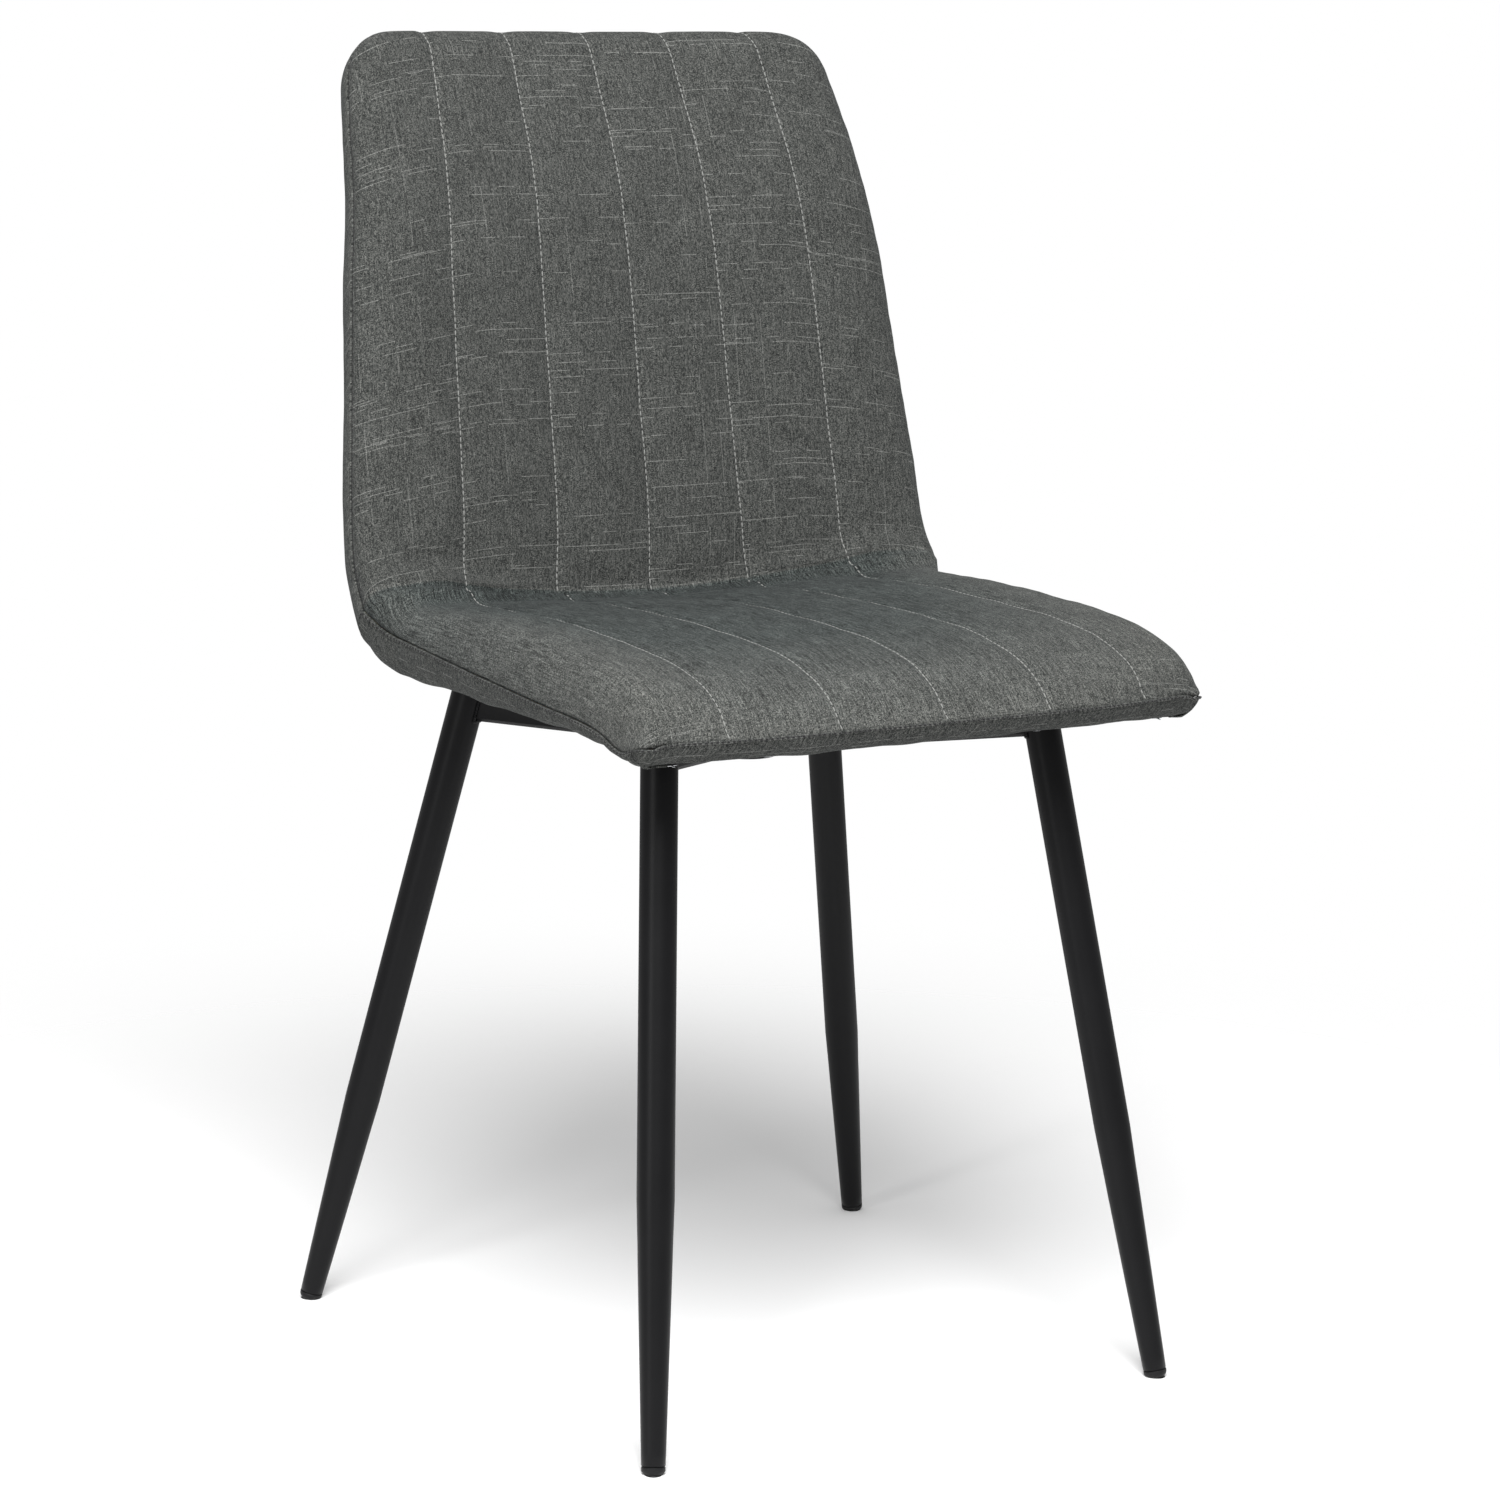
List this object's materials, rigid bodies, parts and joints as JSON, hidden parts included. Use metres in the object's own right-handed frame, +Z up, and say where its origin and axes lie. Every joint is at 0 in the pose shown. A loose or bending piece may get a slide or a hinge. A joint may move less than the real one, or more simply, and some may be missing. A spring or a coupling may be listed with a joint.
{
  "type": "dining chair",
  "caption": "Armless upholstered dining chair: bent padded shell in channel-stitched grey fabric on splayed, tapered black steel legs joined by a crossed under-frame.",
  "frame": {"origin": "on the floor, in the plane of symmetry, halfway between the front of the seat and the rear of the top edge", "axes": "+Z up, +X to the sitter's left, -Y the way the sitter looks"},
  "size_m": [0.4696, 0.5104, 0.8814],
  "materials": {
    "upholstery_fabric": "dark grey linen-look melange weave with pale slubs, matt",
    "lining_fabric": "black non-woven lining",
    "foam": "open-cell upholstery foam, hidden under the cover",
    "plywood": "bent birch plywood, raw, hidden under the cover",
    "black_steel": "fine matt black powder coat",
    "black_plastic": "moulded black polyethylene",
    "zinc_steel": "bright zinc plate"
  },
  "bodies": {
    "root": {"plywood_shell": "plywood", "seat_foam": "foam", "back_foam": "foam", "back_wadding": "foam", "front_cover": "upholstery_fabric", "rear_cover": "upholstery_fabric", "left_side_band": "upholstery_fabric", "right_side_band": "upholstery_fabric", "front_band": "upholstery_fabric", "dust_cover": "lining_fabric", "front_left_leg": "black_steel", "front_left_glide": "black_plastic", "front_left_plate": "black_steel", "front_left_arm": "black_steel", "front_right_leg": "black_steel", "front_right_glide": "black_plastic", "front_right_plate": "black_steel", "front_right_arm": "black_steel", "rear_left_leg": "black_steel", "rear_left_glide": "black_plastic", "rear_left_plate": "black_steel", "rear_left_arm": "black_steel", "rear_right_leg": "black_steel", "rear_right_glide": "black_plastic", "rear_right_plate": "black_steel", "rear_right_arm": "black_steel", "centre_hub": "black_steel", "front_left_bolt_1": "zinc_steel", "front_left_washer_1": "zinc_steel", "front_left_tee_nut_1": "zinc_steel", "front_left_bolt_2": "zinc_steel", "front_left_washer_2": "zinc_steel", "front_left_tee_nut_2": "zinc_steel", "front_right_bolt_1": "zinc_steel", "front_right_washer_1": "zinc_steel", "front_right_tee_nut_1": "zinc_steel", "front_right_bolt_2": "zinc_steel", "front_right_washer_2": "zinc_steel", "front_right_tee_nut_2": "zinc_steel", "rear_left_bolt_1": "zinc_steel", "rear_left_washer_1": "zinc_steel", "rear_left_tee_nut_1": "zinc_steel", "rear_left_bolt_2": "zinc_steel", "rear_left_washer_2": "zinc_steel", "rear_left_tee_nut_2": "zinc_steel", "rear_right_bolt_1": "zinc_steel", "rear_right_washer_1": "zinc_steel", "rear_right_tee_nut_1": "zinc_steel", "rear_right_bolt_2": "zinc_steel", "rear_right_washer_2": "zinc_steel", "rear_right_tee_nut_2": "zinc_steel"}
  },
  "joints": []
}
